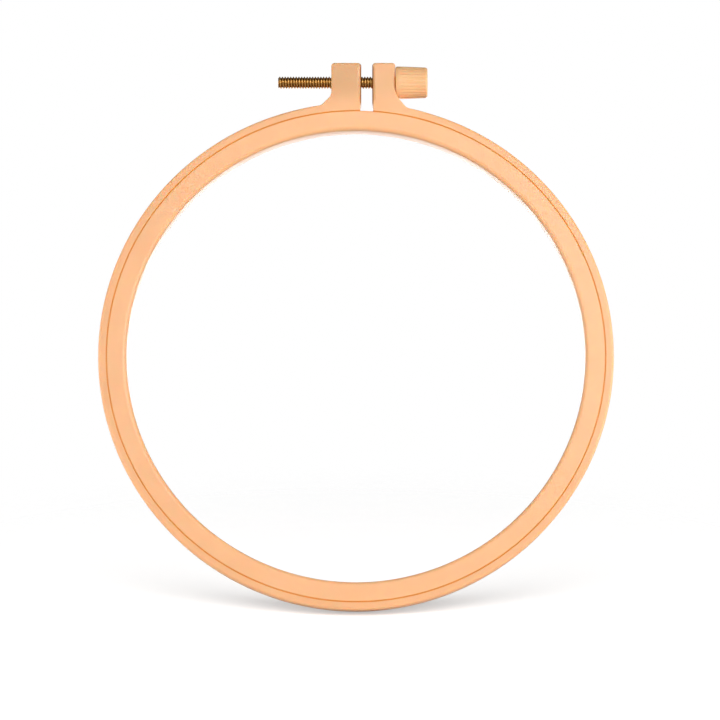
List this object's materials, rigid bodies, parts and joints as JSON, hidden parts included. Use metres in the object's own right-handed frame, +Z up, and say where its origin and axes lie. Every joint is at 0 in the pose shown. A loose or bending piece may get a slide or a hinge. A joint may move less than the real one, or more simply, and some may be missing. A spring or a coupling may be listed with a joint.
{
  "type": "embroidery hoop",
  "caption": "Round plastic embroidery hoop: an inner ring nested in a split outer ring, closed at the top by a brass screw with a ribbed knob.",
  "frame": {"origin": "bottom of the rim, midway between the front and back faces, where a stand holds the hoop upright", "axes": "+Z up through the lugs, +Y from the front face to the back face along the hoop's axis, +X towards the knob"},
  "size_m": [0.1476, 0.0094, 0.1594],
  "materials": {
    "inner_plastic": "satin apricot moulded plastic",
    "outer_plastic": "satin apricot moulded plastic",
    "knob_plastic": "satin apricot moulded plastic, fine ribs",
    "aged_brass": "dark antique brass, rolled thread",
    "insert_brass": "turned and knurled brass"
  },
  "bodies": {
    "right_half": {"outer_ring_right": "outer_plastic"},
    "left_half": {"outer_ring_left": "outer_plastic", "threaded_insert": "insert_brass"},
    "screw_and_knob": {"clamp_screw": "aged_brass", "knob": "knob_plastic"},
    "inner": {"inner_ring": "inner_plastic"}
  },
  "joints": [
    {"name": "screw_turn", "type": "hinge", "parent": "right_half", "child": "screw_and_knob", "pos_m": [0.0031, 0, 0.15425], "axis": [1, 0, 0], "range_deg": [0, 1800]},
    {"name": "ring_flex", "type": "hinge", "parent": "right_half", "child": "left_half", "pos_m": [0.0031, 0, 0.0012], "axis": [0, -1, 0], "range_deg": [0, 1.49]},
    {"name": "inner_ring_lift", "type": "slide", "parent": "right_half", "child": "inner", "axis": [0, -1, 0], "range_m": [0, 0.03]}
  ],
  "couplings": [
    {"joint": "screw_turn", "follows": "ring_flex", "ratio": 1211.1}
  ]
}
